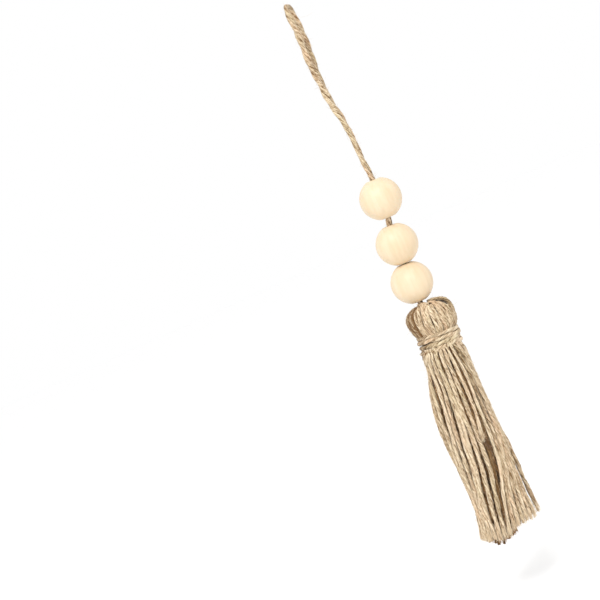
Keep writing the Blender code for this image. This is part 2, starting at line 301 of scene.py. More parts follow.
# The skirt's strands: where they start under the binding, how they crimp and sway as they hang free,
# and how they swell on the way down and taper at the cut
STRAND_START = ROOT_DEPTH - 2 * MM
STRAND_PITCH = (17.0, 25.0)  # mm
STRAND_CRIMP = 0.15 * MM
CRIMP_LENGTH = 4 * MM
STRAND_SWAY = 0.8 * MM
SWAY_LENGTH = 17 * MM
SWAY_DEPTHS = (22 * MM, 42 * MM)
SWELLING = 0.12
SWELLING_DEPTHS = (38 * MM, 60 * MM)
TIP_TAPER = 0.35
TIP_LENGTH = 4 * MM
SKIRT_RELIEF = 0.1 * MM
# Room that the strands leave beside the slit, as a share of their radius
SLIT_MARGIN = 1.2
SLUB_LENGTH = 6 * MM

# Loose fibres, in mm: radii at the root, and how far above a strand's end the frayed ones start and how
# far past it they reach. All lose a share of their radius towards the tip.
HAIR_RADII = (0.022, 0.036)
STRAY_RADII = (0.03, 0.045)
FIBRE_RADII = (0.035, 0.075)
BRUSH_RADII = (0.06, 0.11)
HAIR_TAPER = 0.6
BRUSH_ROOTS = (2.5, 6.0)
BRUSH_TIPS = (-1.6, 1.0)

# Camera: the frame is 600 pixels wide, and the hanging point lies at a named place in it
FRAME_PIXELS = 600
BEAD_PIXELS = 43.3
METRES_PER_PIXEL = 2 * BEAD_RADIUS / BEAD_PIXELS
LENS_MM = 85.0
SENSOR_MM = 36.0
CAMERA_ROLL = math.radians(24.2)
CAMERA_ELEVATION = math.radians(3.0)
CROWN_PIXEL = (286, 4)

# Stage: a floor below the tassel, and one soft light up at the left, placed along the camera's axes
FLOOR_DROP = 236.0 * MM
FLOOR_HALF_WIDTH = 4.0
LIGHT_WATTS = 2.7
LIGHT_WIDTH = 0.3
LIGHT_PLACE = (-0.3, 0.4, 0.5)
LIGHT_AIM_DROP = 120 * MM

# How a Mix node blends two colours
COLOUR_MIX = {"data_type": "RGBA", "blend_type": "MIX"}
COLOUR_MULTIPLY = {"data_type": "RGBA", "blend_type": "MULTIPLY"}


# Small tools


def linear(hex_colour):
    """An sRGB hex colour as linear red, green, blue and alpha."""
    channels = [int(hex_colour[i : i + 2], 16) / 255 for i in (1, 3, 5)]
    return [c / 12.92 if c <= 0.04045 else ((c + 0.055) / 1.055) ** 2.4 for c in channels] + [1.0]


def eased(rows, place):
    """The columns after the first at a place in the first, on a smooth curve through the rows."""
    after = next(i for i in range(1, len(rows)) if place <= rows[i][0] or i == len(rows) - 1)
    before = rows[max(after - 2, 0)]
    low = rows[after - 1]
    high = rows[after]
    beyond = rows[min(after + 1, len(rows) - 1)]
    span = high[0] - low[0]
    t = (place - low[0]) / span
    values = []
    for column in range(1, len(low)):
        slope_in = (high[column] - before[column]) / (high[0] - before[0])
        slope_out = (beyond[column] - low[column]) / (beyond[0] - low[0])
        values.append(
            (2 * t**3 - 3 * t**2 + 1) * low[column]
            + (t**3 - 2 * t**2 + t) * span * slope_in
            + (3 * t**2 - 2 * t**3) * high[column]
            + (t**3 - t**2) * span * slope_out
        )
    return values


def evenly(points, step):
    """The points of a smooth line through the given ones, a step apart."""
    lengths = [0.0]
    for a, b in zip(points, points[1:]):
        lengths.append(lengths[-1] + (b - a).length)
    count = max(2, round(lengths[-1] / step))
    rows = [(along, *point) for along, point in zip(lengths, points)]
    return [Vector(eased(rows, lengths[-1] * i / count)) for i in range(count + 1)]


def softened(points, rounds):
    """The points with their corners eased, and both ends kept."""
    for _ in range(rounds):
        middle = [(a + 2 * b + c) / 4 for a, b, c in zip(points, points[1:], points[2:])]
        points = [points[0], *middle, points[-1]]
    return points


def step_up(low, high, value):
    """0 below low and 1 above high, with an eased rise between."""
    t = min(1.0, max(0.0, (value - low) / (high - low)))
    return t * t * (3 - 2 * t)


def linked(name, data):
    """A new object of the data, in the scene."""
    made = bpy.data.objects.new(name, data)
    bpy.context.scene.collection.objects.link(made)
    return made


def on_tassel():
    """From the tassel's own frame, whose origin is the top of its head, to the model's."""
    return Matrix.Translation((TASSEL_ASIDE, 0.0, -TASSEL_DROP)) @ Matrix.Rotation(TASSEL_LEAN, 4, "Y")


# Materials


def material(name):
    """A new material, with its tree and its shader."""
    made = bpy.data.materials.new(name)
    made.use_nodes = True
    tree = made.node_tree
    return made, tree, tree.nodes["Principled BSDF"]


def add(tree, kind, settings=None, stops=(), **links):
    """A node of that kind. Settings are its own values, stops are a colour ramp's places and hex
    colours, and links go to its inputs by name, or by number after an i."""
    node = tree.nodes.new(kind)
    for key, value in (settings or {}).items():
        setattr(node, key, value)
    if stops:
        elements = node.color_ramp.elements
        while len(elements) < len(stops):
            elements.new(0.5)
        for element, (place, colour) in zip(elements, stops):
            element.position = place
            element.color = linear(colour)
    for key, value in links.items():
        by_number = key[0] == "i" and key[1:].isdigit()
        slot = node.inputs[int(key[1:]) if by_number else key.replace("_", " ")]
        if isinstance(value, bpy.types.NodeSocket):
            tree.links.new(value, slot)
        else:
            slot.default_value = value
    return node


def jute(name, light, middle, dark, bump):
    """Jute twine, spun dry and undyed: matt, with coarse stiff fibres that run along the plies.

    The pieces give "lay", a place in the straightened twine in millimetres, "shade", a strand's tone,
    which varies at random and in places is painted light and shade, and "groove", how deep between the
    plies a point lies.
    """
    made, tree, shader = material(name)
    lay = add(tree, "ShaderNodeAttribute", {"attribute_name": "lay"}).outputs["Vector"]
    shade = add(tree, "ShaderNodeAttribute", {"attribute_name": "shade"}).outputs["Fac"]
    groove = add(tree, "ShaderNodeAttribute", {"attribute_name": "groove"}).outputs["Fac"]

    def streaks(width, length, detail):
        """Noise drawn out along the twine, in marks of a width and a length in millimetres."""
        size = (1 / width, 1 / width, 1 / length)
        place = add(tree, "ShaderNodeVectorMath", {"operation": "MULTIPLY"}, i0=lay, i1=size)
        marks = add(tree, "ShaderNodeTexNoise", Vector=place.outputs[0], Scale=1.0, Detail=detail)
        return marks.outputs["Fac"]

    # Fibres are about 0.1 mm wide. They are drawn 0.36 mm wide and 4.2 mm long, or they wouldn't show.
    fibre = streaks(0.36, 4.2, 3.0)
    # Where bundles of fibres surface and dive again
    fleck = streaks(0.36, 1.1, 2.0)
    bundle = streaks(0.8, 9.0, 2.0)
    tone = add(tree, "ShaderNodeMath", {"operation": "MULTIPLY_ADD"}, i0=shade, i1=0.5, i2=-1.85).outputs[0]
    for marks, weight in ((fibre, 1.9), (fleck, 1.5), (bundle, 0.6)):
        more = add(tree, "ShaderNodeMath", {"operation": "MULTIPLY_ADD"}, i0=marks, i1=weight, i2=tone)
        tone = more.outputs[0]
    tones = ((0.12, dark), (0.48, middle), (0.85, light))
    colour = add(tree, "ShaderNodeValToRGB", stops=tones, Fac=tone).outputs["Color"]
    # Retted in batches: some stretches are pinker, some greyer
    batches = ((0.35, "#FFF4EE"), (0.5, "#FFFFFF"), (0.65, "#F3F4EC"))
    batch = add(tree, "ShaderNodeValToRGB", stops=batches, Fac=streaks(6.0, 35.0, 1.0)).outputs["Color"]
    colour = add(tree, "ShaderNodeMix", COLOUR_MULTIPLY, i0=1.0, i6=colour, i7=batch).outputs[2]
    # Painted shade: the valley between the plies is darkened towards the dark colour, as if in their shade
    deep = add(tree, "ShaderNodeMath", {"operation": "MULTIPLY"}, i0=groove, i1=0.6).outputs[0]
    colour = add(tree, "ShaderNodeMix", COLOUR_MULTIPLY, i0=deep, i6=colour, i7=linear(dark)).outputs[2]
    tree.links.new(colour, shader.inputs["Base Color"])
    shader.inputs["Roughness"].default_value = 0.82
    shader.inputs["Specular IOR Level"].default_value = 0.25
    shader.inputs["Sheen Weight"].default_value = 0.2
    shader.inputs["Sheen Roughness"].default_value = 0.45
    height = add(tree, "ShaderNodeMix", COLOUR_MIX, i0=0.5, i6=fibre, i7=fleck).outputs[2]
    relief = add(tree, "ShaderNodeBump", Strength=bump, Distance=0.2 * MM, Height=height)
    tree.links.new(relief.outputs["Normal"], shader.inputs["Normal"])
    return made


def turned_wood():
    """Maple, turned, sanded and left bare: pale cream and satin, with a faint close grain."""
    made, tree, shader = material("turned_maple")
    place = add(tree, "ShaderNodeTexCoord").outputs["Object"]
    # Growth rings about 2 mm apart, cut nearly along the grain, whose streaks are about 22 mm long
    size = (1 / (1.613 * MM), 1 / (2.632 * MM), 1 / (22.22 * MM))
    across = add(tree, "ShaderNodeVectorMath", {"operation": "MULTIPLY"}, i0=place, i1=size).outputs[0]
    grain = add(tree, "ShaderNodeTexNoise", Vector=across, Scale=1.0, Detail=4.0, Roughness=0.55)
    # Paler and darker clouds about 10 mm across
    cloud = add(tree, "ShaderNodeTexNoise", Vector=place, Scale=1 / (10.53 * MM), Detail=1.0)
    marks = (grain.outputs["Fac"], cloud.outputs["Fac"])
    tone = add(tree, "ShaderNodeMix", COLOUR_MIX, i0=0.35, i6=marks[0], i7=marks[1]).outputs[2]
    tones = ((0.2, "#D6BF9C"), (0.5, "#DFCAAB"), (0.8, "#E6D4B8"))
    colour = add(tree, "ShaderNodeValToRGB", stops=tones, Fac=tone).outputs["Color"]
    tree.links.new(colour, shader.inputs["Base Color"])
    shader.inputs["Roughness"].default_value = 0.42
    shader.inputs["Specular IOR Level"].default_value = 0.35
    shader.inputs["Subsurface Weight"].default_value = 0.12
    shader.inputs["Subsurface Radius"].default_value = (1.0, 0.6, 0.35)
    shader.inputs["Subsurface Scale"].default_value = 1.2 * MM
    relief = add(tree, "ShaderNodeBump", Strength=0.05, Distance=0.1 * MM, Height=grain.outputs["Fac"])
    tree.links.new(relief.outputs["Normal"], shader.inputs["Normal"])
    return made


def paper():
    """Matt white paper sweep."""
    made, _, shader = material("white_paper")
    shader.inputs["Base Color"].default_value = linear("#FFFFFF")
    shader.inputs["Roughness"].default_value = 0.9
    return made


# Twine


class Run:
    """One length of twine: its line, its radius and twist at each point, and its tone, in places painted
    light and shade.
    """

    def __init__(self, points, radii, pitch, start_turn=0.0, shade=0.5):
        self.points = points
        self.radii = radii
        self.shade = shade
        self.along = [0.0]
        for a, b in zip(points, points[1:]):
            self.along.append(self.along[-1] + (b - a).length)
        self.turns = [start_turn - math.tau * s / pitch for s in self.along]

    @property
    def length(self):
        return self.along[-1]


def section_guide(name, corners):
    """A closed outline for a curve to sweep. Its corners run clockwise, as the sweep needs them."""
    outline = bpy.data.curves.new(name, "CURVE")
    outline.dimensions = "2D"
    spline = outline.splines.new("POLY")
    spline.points.add(len(corners) - 1)
    for point, corner in zip(spline.points, corners):
        point.co = (*corner, 0.0, 1.0)
    spline.use_cyclic_u = True
    return linked(name, outline)


def ply_section(name, lobe_steps, spread):
    """The outline of two plies side by side, at a radius of 1. The spread is from the twine's middle
    to a ply's, so a larger one gives rounder plies and a deeper valley."""
    ply_radius = 1.0 - spread
    meeting = math.pi - math.acos(spread / ply_radius)
    corners = []
    for side in (0.0, math.pi):
        for i in range(lobe_steps):
            angle = meeting * (2 * i / lobe_steps - 1)
            reach = Vector((spread + ply_radius * math.cos(angle), ply_radius * math.sin(angle)))
            corners.append(Matrix.Rotation(side, 2) @ reach)
    return section_guide(name, corners[::-1])


def slubbed(count, radius, rng, unevenness=0.1, wave=12):
    """A radius for each point of a hand-spun yarn, which swells and thins by a share of it along its
    length, over a wave of so many points."""
    seed = Vector((rng.uniform(0, 500), 0, 0))
    return [radius * (1 + unevenness * noise.noise(seed + Vector((i / wave, 0, 0)))) for i in range(count)]


def sweeping_curve(name, section):
    """An empty curve that sweeps the section along its lines and caps their ends."""
    curve = bpy.data.curves.new(name, "CURVE")
    curve.dimensions = "3D"
    curve.bevel_mode = "OBJECT"
    curve.bevel_object = section
    curve.use_fill_caps = True
    return curve


def lay_line(curve, points, radii, turns):
    """Adds a line to the curve, with the section's size and turn at each of its points."""
    spline = curve.splines.new("POLY")
    spline.points.add(len(points) - 1)
    for point, place, radius, turn in zip(spline.points, points, radii, turns):
        point.co = (*place, 1.0)
        point.radius = radius
        point.tilt = turn


def swept_mesh(name, curve):
    """The curve's sweep as a mesh. Its vertices are first those of the caps, from the last line to the
    first and each line's end before its start, and then every line's rings in turn."""
    swept = linked(name, curve)
    mesh = bpy.data.meshes.new_from_object(swept.evaluated_get(bpy.context.evaluated_depsgraph_get()))
    bpy.data.objects.remove(swept)
    mesh.materials.clear()
    return mesh


def twisted(name, runs, section, finish, rng, relief=TWINE_RELIEF):
    """A piece made of the runs of twine, each swept by the turning section, with the jute's attributes."""
    curve = sweeping_curve(name, section)
    for run in runs:
        lay_line(curve, run.points, run.radii, run.turns)
    mesh = swept_mesh(name, curve)
    lay = give_lay(mesh, runs, section, rng)
    roughen(mesh, lay, relief)
    mesh.materials.append(finish)
    return closed_piece(name, mesh)


def give_lay(mesh, runs, section, rng):
    """Writes each vertex's place in the straightened twine, its strand's tone and its groove depth."""
    corners = np.array([point.co[:2] for point in section.data.splines[0].points])
    angles = np.arctan2(corners[:, 1], corners[:, 0])
    reaches = np.hypot(corners[:, 0], corners[:, 1])
    tube = []
    ends = []
    for run in runs:
        start = rng.uniform(0, LAY_STARTS)
        turns = np.array(run.turns)[:, None] * FIBRE_TURN_SHARE
        radii = np.array(run.radii)[:, None] / MM
        rings = np.empty((len(run.points), len(corners), 5))
        rings[:, :, 0] = reaches * radii * np.cos(angles + turns)
        rings[:, :, 1] = reaches * radii * np.sin(angles + turns)
        rings[:, :, 2] = np.array(run.along)[:, None] / MM + start
        rings[:, :, 3] = np.reshape(run.shade, (-1, 1))
        rings[:, :, 4] = np.clip((GROOVE_TOP - reaches) / (GROOVE_TOP - GROOVE_BOTTOM), 0, 1)
        tube.append(rings.reshape(-1, 5))
        ends = [rings[-1], rings[0], *ends]
    values = np.concatenate(ends + tube)
    if len(values) != len(mesh.vertices):
        raise RuntimeError(f"{mesh.name}: {len(values)} values for {len(mesh.vertices)} vertices")
    lay = values[:, :3]
    mesh.attributes.new("lay", "FLOAT_VECTOR", "POINT").data.foreach_set("vector", lay.ravel())
    for name, column in (("shade", 3), ("groove", 4)):
        mesh.attributes.new(name, "FLOAT", "POINT").data.foreach_set("value", values[:, column].copy())
    return lay


def roughen(mesh, lay, relief):
    """Raises coarse fibres on the surface, about 0.4 mm wide and 5 mm long, and shorter flecks."""
    coords = np.empty(len(mesh.vertices) * 3)
    normals = np.empty(len(mesh.vertices) * 3)
    mesh.vertices.foreach_get("co", coords)
    mesh.vertex_normals.foreach_get("vector", normals)
    heights = np.zeros(len(mesh.vertices))
    for across, along, height in RAISED_FIBRES:
        places = lay * (across, across, along)
        heights += height * np.array([noise.noise(place) for place in places.tolist()])
    coords += normals * np.repeat(heights * relief, 3)
    mesh.vertices.foreach_set("co", coords)


def closed_piece(name, mesh):
    """A linked piece of the mesh, with its caps merged to its sides and its faces turned outwards."""
    bm = bmesh.new()
    bm.from_mesh(mesh)
    bmesh.ops.remove_doubles(bm, verts=bm.verts, dist=1e-6)
    bmesh.ops.recalc_face_normals(bm, faces=bm.faces)
    bm.to_mesh(mesh)
    bm.free()
    mesh.name = name
    mesh.shade_smooth()
    mesh.set_sharp_from_angle(angle=SMOOTH_BELOW)
    return linked(name, mesh)


def dress(piece, slot, *nodes):
    """Makes a piece ride and stand for its nodes. The slot is not used."""
    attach(piece, "root")
    if nodes:
        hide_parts(*nodes)
    return piece


# Hanging loop


def beside(sign, drop, aside, offset):
    """A point of one of the loop's legs, from the pair's sideways wander and its spread."""
    across = sign * offset
    return Vector((aside + across * math.cos(LOOP_TURN), across * math.sin(LOOP_TURN), -drop))


def loop_leg(sign):
    """A leg's points, from its tail in the head up to where the crown begins."""
    _, drop, aside, lean = BEAD_ROWS[-1]
    tail = TASSEL_DROP + DIMPLE_DEPTH - TAIL_CLEARANCE
    points = [beside(sign, tail, aside + lean * (tail - drop), LEG_OFFSET)]
    for _, drop, aside, lean in reversed(BEAD_ROWS):
        for reach in (BEAD_HALF_LENGTH, 0.0, -BEAD_HALF_LENGTH):
            points.append(beside(sign, drop + reach, aside + lean * reach, LEG_OFFSET))
    top = LOOP_ROWS[0][0]
    bottom = LOOP_ROWS[-1][0]
    for i in range(1, LEG_STEPS + 1):
        drop = bottom + (top - bottom) * i / LEG_STEPS
        points.append(beside(sign, drop, *eased(LOOP_ROWS, drop)))
    return points


def loop_line():
    """The whole line of the loop: up one leg, over the crown and down the other leg."""
    top, aside, arc_radius = LOOP_ROWS[0]
    crown = []
    for i in range(1, CROWN_STEPS):
        angle = math.pi * i / CROWN_STEPS
        drop = top - arc_radius * math.sin(angle)
        crown.append(beside(-1, drop, aside, arc_radius * math.cos(angle)))
    points = loop_leg(-1) + crown + loop_leg(1)[::-1]
    return softened(evenly(points, RING_STEP), 2)


def hanging_loop(finish, section, rng):
    """The loop of twine that goes through the beads into the head, as a cord."""
    line = loop_line()
    looks = [eased(LOOP_LOOKS, min(-point.z, LOOP_LOOKS[-1][0])) for point in line]
    radii = [slub * radius for slub, (radius, _) in zip(slubbed(len(line), 1.0, rng), looks)]
    run = Run(line, radii, LOOP_PITCH, shade=np.array([tone for _, tone in looks]))
    piece = twisted("loop_twine", [run], section, finish, rng)
    dress(piece, "jute", "hanging_loop")
    return [run]


# Beads


def turned_bead(name, drop, aside, lean, finish):
    """A ball with flat ends and a bore, spun from half its section."""
    rim_angle = math.acos(BEAD_HALF_LENGTH / BEAD_RADIUS)
    outline = [
        (BORE_RADIUS, BORE_CHAMFER - BEAD_HALF_LENGTH),
        (BORE_RADIUS + BORE_CHAMFER, -BEAD_HALF_LENGTH),
    ]
    for i in range(BEAD_ARC_STEPS + 1):
        angle = math.pi - rim_angle + (2 * rim_angle - math.pi) * i / BEAD_ARC_STEPS
        outline.append((BEAD_RADIUS * math.sin(angle), BEAD_RADIUS * math.cos(angle)))
    outline.append((BORE_RADIUS + BORE_CHAMFER, BEAD_HALF_LENGTH))
    outline.append((BORE_RADIUS, BEAD_HALF_LENGTH - BORE_CHAMFER))
    bm = bmesh.new()
    corners = [bm.verts.new((reach, 0.0, height)) for reach, height in outline]
    edges = [bm.edges.new(pair) for pair in zip(corners, corners[1:] + corners[:1])]
    bmesh.ops.spin(
        bm,
        geom=corners + edges,
        cent=(0, 0, 0),
        axis=(0, 0, 1),
        angle=math.tau,
        steps=BEAD_SIDES,
        use_merge=True,
    )
    place = Matrix.Translation((aside, 0.0, -drop)) @ Matrix.Rotation(-math.atan(lean), 4, "Y")
    bmesh.ops.transform(bm, matrix=place, verts=bm.verts)
    mesh = bpy.data.meshes.new(name)
    bm.to_mesh(mesh)
    bm.free()
    mesh.materials.append(finish)
    piece = closed_piece("turned_" + name, mesh)
    mesh.set_sharp_from_angle(angle=BEAD_EDGE)
    dress(piece, "wood", name)


# Neck binding


def neck_binding(finish, section, rng):
    """The twine wound about four times round the neck, from under the head to the skirt's root."""
    first = BINDING_ROWS[0][0]
    last = BINDING_ROWS[-1][0]
    steps = round(math.tau * NECK_RADIUS * (last - first) / RING_STEP)
    points = []
    shades = []
    for i in range(steps + 1):
        turn = first + (last - first) * i / steps
        angle = -math.tau * turn
        # Painted light and shade: lighter towards the front right, darker towards the back left
        shades.append(BINDING_TONE + BINDING_TONE * math.cos(angle - BINDING_PAINTED_LIGHTEST))
        depth, radius = eased(BINDING_ROWS, turn)
        points.append(on_tassel() @ Vector((radius * math.cos(angle), radius * math.sin(angle), -depth)))
    radii = slubbed(len(points), BINDING_RADIUS, rng, unevenness=0.16, wave=9)
    run = Run(points, radii, BINDING_PITCH, shade=np.array(shades))
    dress(twisted("binding_twine", [run], section, finish, rng, BINDING_RELIEF), "jute", "neck_binding")
    return [run]


# Head


def head_place(angle, row_place, inward):
    """A point of the head in the tassel's frame, so far inward from its outside. Row places count
    along HEAD_ROWS, from the neck up."""
    rows = [(i, *row) for i, row in enumerate(HEAD_ROWS)]
    depth, radius, aside, rise = eased(rows, row_place)
    low = eased(rows, max(row_place - 0.5, 0.0))
    high = eased(rows, min(row_place + 0.5, len(rows) - 1.0))
    tangent = Vector((high[1] - low[1], low[0] - high[0])).normalized()
    radius -= inward * tangent.y
    depth -= inward * tangent.x
    across = radius * math.cos(angle)
    return Vector((aside + across, radius * math.sin(angle), rise * across - depth))


def head_back_rows(rng):
    """Rows like those of HEAD_FRONT for the strands round the back."""
    rows = []
    start, sweep = HEAD_BACK_DEGREES
    hollow_start, hollow_end = BACK_HOLLOW_DEGREES
    for i in range(HEAD_BACK_STRANDS):
        degrees = start + sweep * (i + rng.uniform(-0.2, 0.2)) / (HEAD_BACK_STRANDS - 1)
        choices = RIGHT_SHORT if degrees < RIGHT_END_DEGREES else BACK_SHORT
        short = choices[i % len(choices)]
        proud = rng.uniform(-0.2, 0.15)
        if hollow_start < degrees < hollow_end:
            proud -= BACK_HOLLOW
        rows.append((degrees, rng.uniform(*HEAD_BACK_TONES), proud, short, 0))
    return rows


def head_strand(row, rng):
    """A folded strand, from under the binding up towards where the loop enters the head."""
    degrees, tone, proud, short, lean = row
    radius = rng.uniform(*HEAD_STRAND_RADII)
    seed = Vector((rng.uniform(0, 90), 0, 0))
    points = []
    for i in range(HEAD_STEPS + 1):
        t = i / HEAD_STEPS
        row_place = (len(HEAD_ROWS) - 1.0 - short) * t
        dive = DIVE * max(0.0, (t - DIVE_START) / (1 - DIVE_START)) ** 2 if short > 1 else 0.0
        wander = HEAD_WANDER * noise.noise(seed + Vector((0, t * 3, 0)))
        angle = math.radians(degrees + lean * step_up(*LEANING_ROWS, row_place)) + wander
        inward = radius + dive - proud * MM * min(1, 3 * t)
        points.append(on_tassel() @ head_place(angle, row_place, inward))
    points = softened(evenly(points, RING_STEP), 2)
    radii = slubbed(len(points), radius, rng, unevenness=STRAND_UNEVENNESS, wave=10)
    for i in range(len(radii)):
        radii[i] *= 1 - CROWDING * step_up(CROWDING_START, 1.0, i / len(radii))
    return Run(points, radii, rng.uniform(*HEAD_STRAND_PITCH) * MM, rng.uniform(0, 6), tone)


def head_strands(finish, section, rng):
    """The folded strands that show on the head, fanned from where the loop enters it."""
    rows = [*HEAD_FRONT, *head_back_rows(rng)]
    runs = [head_strand(row, rng) for row in rows]
    dress(twisted("head_strands", runs, section, finish, rng, HEAD_RELIEF), "jute", "tassel")
    return runs


def head_core(finish):
    """The bundle's inside, coloured dark brown as painted shade, which closes the gaps between the
    strands. It follows HEAD_ROWS as far as the rim of the loop's dimple."""
    bm = bmesh.new()
    bmesh.ops.create_circle(bm, segments=CORE_SIDES, radius=NECK_CORE_RADIUS)
    bmesh.ops.translate(bm, vec=(0, 0, -NECK_CORE_END), verts=bm.verts)
    edges = list(bm.edges)
    aside = 0.0
    for i, row in enumerate(HEAD_ROWS[:-2]):
        grown = bmesh.ops.extrude_edge_only(bm, edges=edges)["geom"]
        edges = [part for part in grown if isinstance(part, bmesh.types.BMEdge)]
        for vert in {vert for edge in edges for vert in edge.verts}:
            vert.co = head_place(math.atan2(vert.co.y, vert.co.x - aside), float(i), HEAD_CORE_INSET)
        aside = row[2]
    bmesh.ops.holes_fill(bm, edges=bm.edges, sides=0)
    bmesh.ops.transform(bm, matrix=on_tassel(), verts=bm.verts)
    mesh = bpy.data.meshes.new("head_core")
    bm.to_mesh(mesh)
    bm.free()
    mesh.materials.append(finish)
    dress(closed_piece("head_core", mesh), "jute", "tassel")


# Skirt


def strand_run(line, end, step, radius, tone, rng):
    """A strand down the skirt. The line gives its place across and forward at a depth and at a reach,
    which is the skirt's outer radius less the strand's own."""
    count = round((end - STRAND_START) / step)
    seed = Vector((rng.uniform(0, 90), 0, 0))
    radii = slubbed(count + 1, radius, rng, unevenness=STRAND_UNEVENNESS, wave=SLUB_LENGTH / step)
    points = []
    for j in range(count + 1):
        depth = STRAND_START + (end - STRAND_START) * j / count
        skirt_radius, aside = eased(SKIRT_ROWS, max(depth, ROOT_DEPTH))
        across, forward = line(depth, skirt_radius - radius, aside)
        crimp = noise.noise_vector(seed + Vector((0, depth / CRIMP_LENGTH, 9))) * STRAND_CRIMP
        points.append(on_tassel() @ Vector((across + crimp.x, crimp.y - forward, -depth)))
        swelling = SWELLING * step_up(*SWELLING_DEPTHS, depth)
        radii[j] *= 1 + swelling - TIP_TAPER * step_up(end - TIP_LENGTH, end, depth)
    return Run(softened(points, 3), radii, rng.uniform(*STRAND_PITCH) * MM, rng.uniform(0, 6), tone)


def front_strand(row, rng):
    """A strand of the skirt's front, which lies against the skirt's round."""
    tone, proud, thickness, end, *places = row
    route = [(depth * MM, across * MM) for depth, across in zip(FRONT_DEPTHS, places)]
    top_depth, top_across = route[0]
    top_radius = eased(SKIRT_ROWS, top_depth)[0]

    def line(depth, reach, aside):
        reach += proud * MM
        if depth < top_depth:
            across = top_across * reach / top_radius
        else:
            across = eased(route, min(depth, route[-1][0] + 4 * MM))[0]
        off_middle = max(-reach, min(reach, across - aside))
        forward = math.sqrt(reach**2 - off_middle**2)
        drift = FRONT_DRIFT * (depth - top_depth) / (SKIRT_END - top_depth) * forward / reach
        return aside + off_middle - max(drift, 0.0), forward

    return strand_run(line, end * MM, SKIRT_STEP, thickness / 2 * MM, tone, rng)


def placed_strand(share, angle, longer, step, radius, tone, rng):
    """A strand at a share of the skirt's radius and an angle round it, which sways as it hangs. It
    is cut so much longer than the cut's own depth there."""
    seed = Vector((rng.uniform(0, 90), 5, 0))

    def line(depth, reach, aside):
        free = step_up(*SWAY_DEPTHS, depth)
        sway = noise.noise_vector(seed + Vector((0, depth / SWAY_LENGTH, 0))) * STRAND_SWAY * free
        across = aside + share * reach * math.cos(angle) + sway.x
        if depth > SLIT_ROWS[0][0]:
            across = min(across, eased(SLIT_ROWS, depth)[0] - SLIT_MARGIN * radius)
        return across, -share * reach * math.sin(angle) + sway.y

    skirt_radius, aside = SKIRT_ROWS[-1][1:]
    across = aside + share * (skirt_radius - radius) * math.cos(angle)
    return strand_run(line, eased(CUT_ROWS, across)[0] + longer, step, radius, tone, rng)


def ring_of_strands(share, count, start, sweep, step, rng, radii, tones):
    """Strands side by side at a share of the skirt's radius, from an angle round a part of a turn.
    Their radii, in mm, and their tones lie between two values."""
    runs = []
    for i in range(count):
        angle = start + sweep * (i + rng.uniform(-0.22, 0.22)) / count
        longer = rng.uniform(-UNEVEN_CUT, 0.3 * UNEVEN_CUT)
        tone = rng.uniform(*tones)
        runs.append(placed_strand(share, angle, longer, step, rng.uniform(*radii) * MM, tone, rng))
    return runs


def skirt(finish, inside, fine_section, plain_section, rng):
    """The skirt's three layers of strands. The two inside are stepped more coarsely."""
    outer = [front_strand(row, rng) for row in FRONT_STRANDS]
    back = (BACK_SHARE, BACK_STRANDS, BACK_START, BACK_SWEEP, SKIRT_STEP)
    outer += ring_of_strands(*back, rng, radii=(0.7, 0.8), tones=(0.1, 0.9))
    middle = (UNDER_SHARE, UNDER_STRANDS, 0.0, math.tau, 1.6 * SKIRT_STEP)
    under = ring_of_strands(*middle, rng, radii=(0.66, 0.74), tones=(0.1, 0.7))
    inner = []
    for share, count in INNER_RINGS:
        ring = (share, count, INNER_START, math.tau, 2 * SKIRT_STEP)
        inner += ring_of_strands(*ring, rng, radii=(0.8, 0.9), tones=(0.0, 1.0))
    layers = (
        twisted("skirt_outer_strands", outer, fine_section, finish, rng, SKIRT_RELIEF),
        # The under and inner layers take the twine coloured with painted shade
        twisted("skirt_under_strands", under, plain_section, inside, rng, SKIRT_RELIEF),
        twisted("skirt_inner_strands", inner, plain_section, inside, rng),
    )
    for layer in layers:
        dress(layer, "jute", "tassel")
    return outer, under + inner


# Loose fibres


def fibres(name, hairs, finish):
    """A piece of fine hairs. Each has its line, its radius at the root and its tone, and it thins
    towards its tip."""
    triangle = [(math.cos(-math.tau * i / 3), math.sin(-math.tau * i / 3)) for i in range(3)]
    guide = section_guide("fibre_section", triangle)
    curve = sweeping_curve(name, guide)
    for line, radius, _ in hairs:
        radii = [radius * (1 - HAIR_TAPER * i / (len(line) - 1)) for i in range(len(line))]
        lay_line(curve, line, radii, [0.0] * len(line))
    mesh = swept_mesh(name, curve)
    bpy.data.objects.remove(guide)
    tones = [tone for _, _, tone in hairs]
    sides = [np.repeat(tone, 3 * len(line)) for line, _, tone in hairs]
    shades = np.concatenate([np.repeat(tones[::-1], 6), *sides])
    mesh.attributes.new("shade", "FLOAT", "POINT").data.foreach_set("value", shades)
    mesh.materials.append(finish)
    return dress(closed_piece(name, mesh), "jute")


def any_way(rng):
    """A direction and strength by chance."""
    return Vector([rng.gauss(0, 1) for _ in range(3)])


def free_line(place, heading, length, curl, rng, steps=5):
    """The line of a free fibre, which bends one way and kinks a little at each step."""
    heading = heading.normalized()
    bend = any_way(rng) * curl
    line = [place]
    for _ in range(steps):
        kink = any_way(rng) * curl * 0.12
        place = place + heading * length / steps
        heading = (heading + bend / steps + kink).normalized()
        line.append(place)
    return line


def side_way(tangent, turn):
    """A direction square to the tangent, turned about it."""
    side = tangent.orthogonal().normalized()
    side.rotate(Matrix.Rotation(turn, 3, tangent))
    return side


def hairs_along(runs, per_metre, reach, rng, radii=HAIR_RADII, lift=0.5, curl=0.9, low=0):
    """Hairs that leave the runs of twine at slight angles, from a point of each run on."""
    hairs = []
    for run in runs:
        for _ in range(round(run.length * per_metre)):
            i = rng.randrange(low, len(run.points) - 2)
            tangent = (run.points[i + 1] - run.points[i]).normalized()
            side = side_way(tangent, rng.uniform(0, math.tau))
            place = run.points[i] + side * run.radii[i] * 0.75
            heading = tangent * rng.choice((-1, 1, 1)) + side * rng.uniform(0.2, 1.4) * lift
            line = free_line(place, heading, rng.uniform(0.3, 1.0) * reach, curl, rng)
            hairs.append((line, rng.uniform(*radii) * MM, rng.random()))
    return hairs


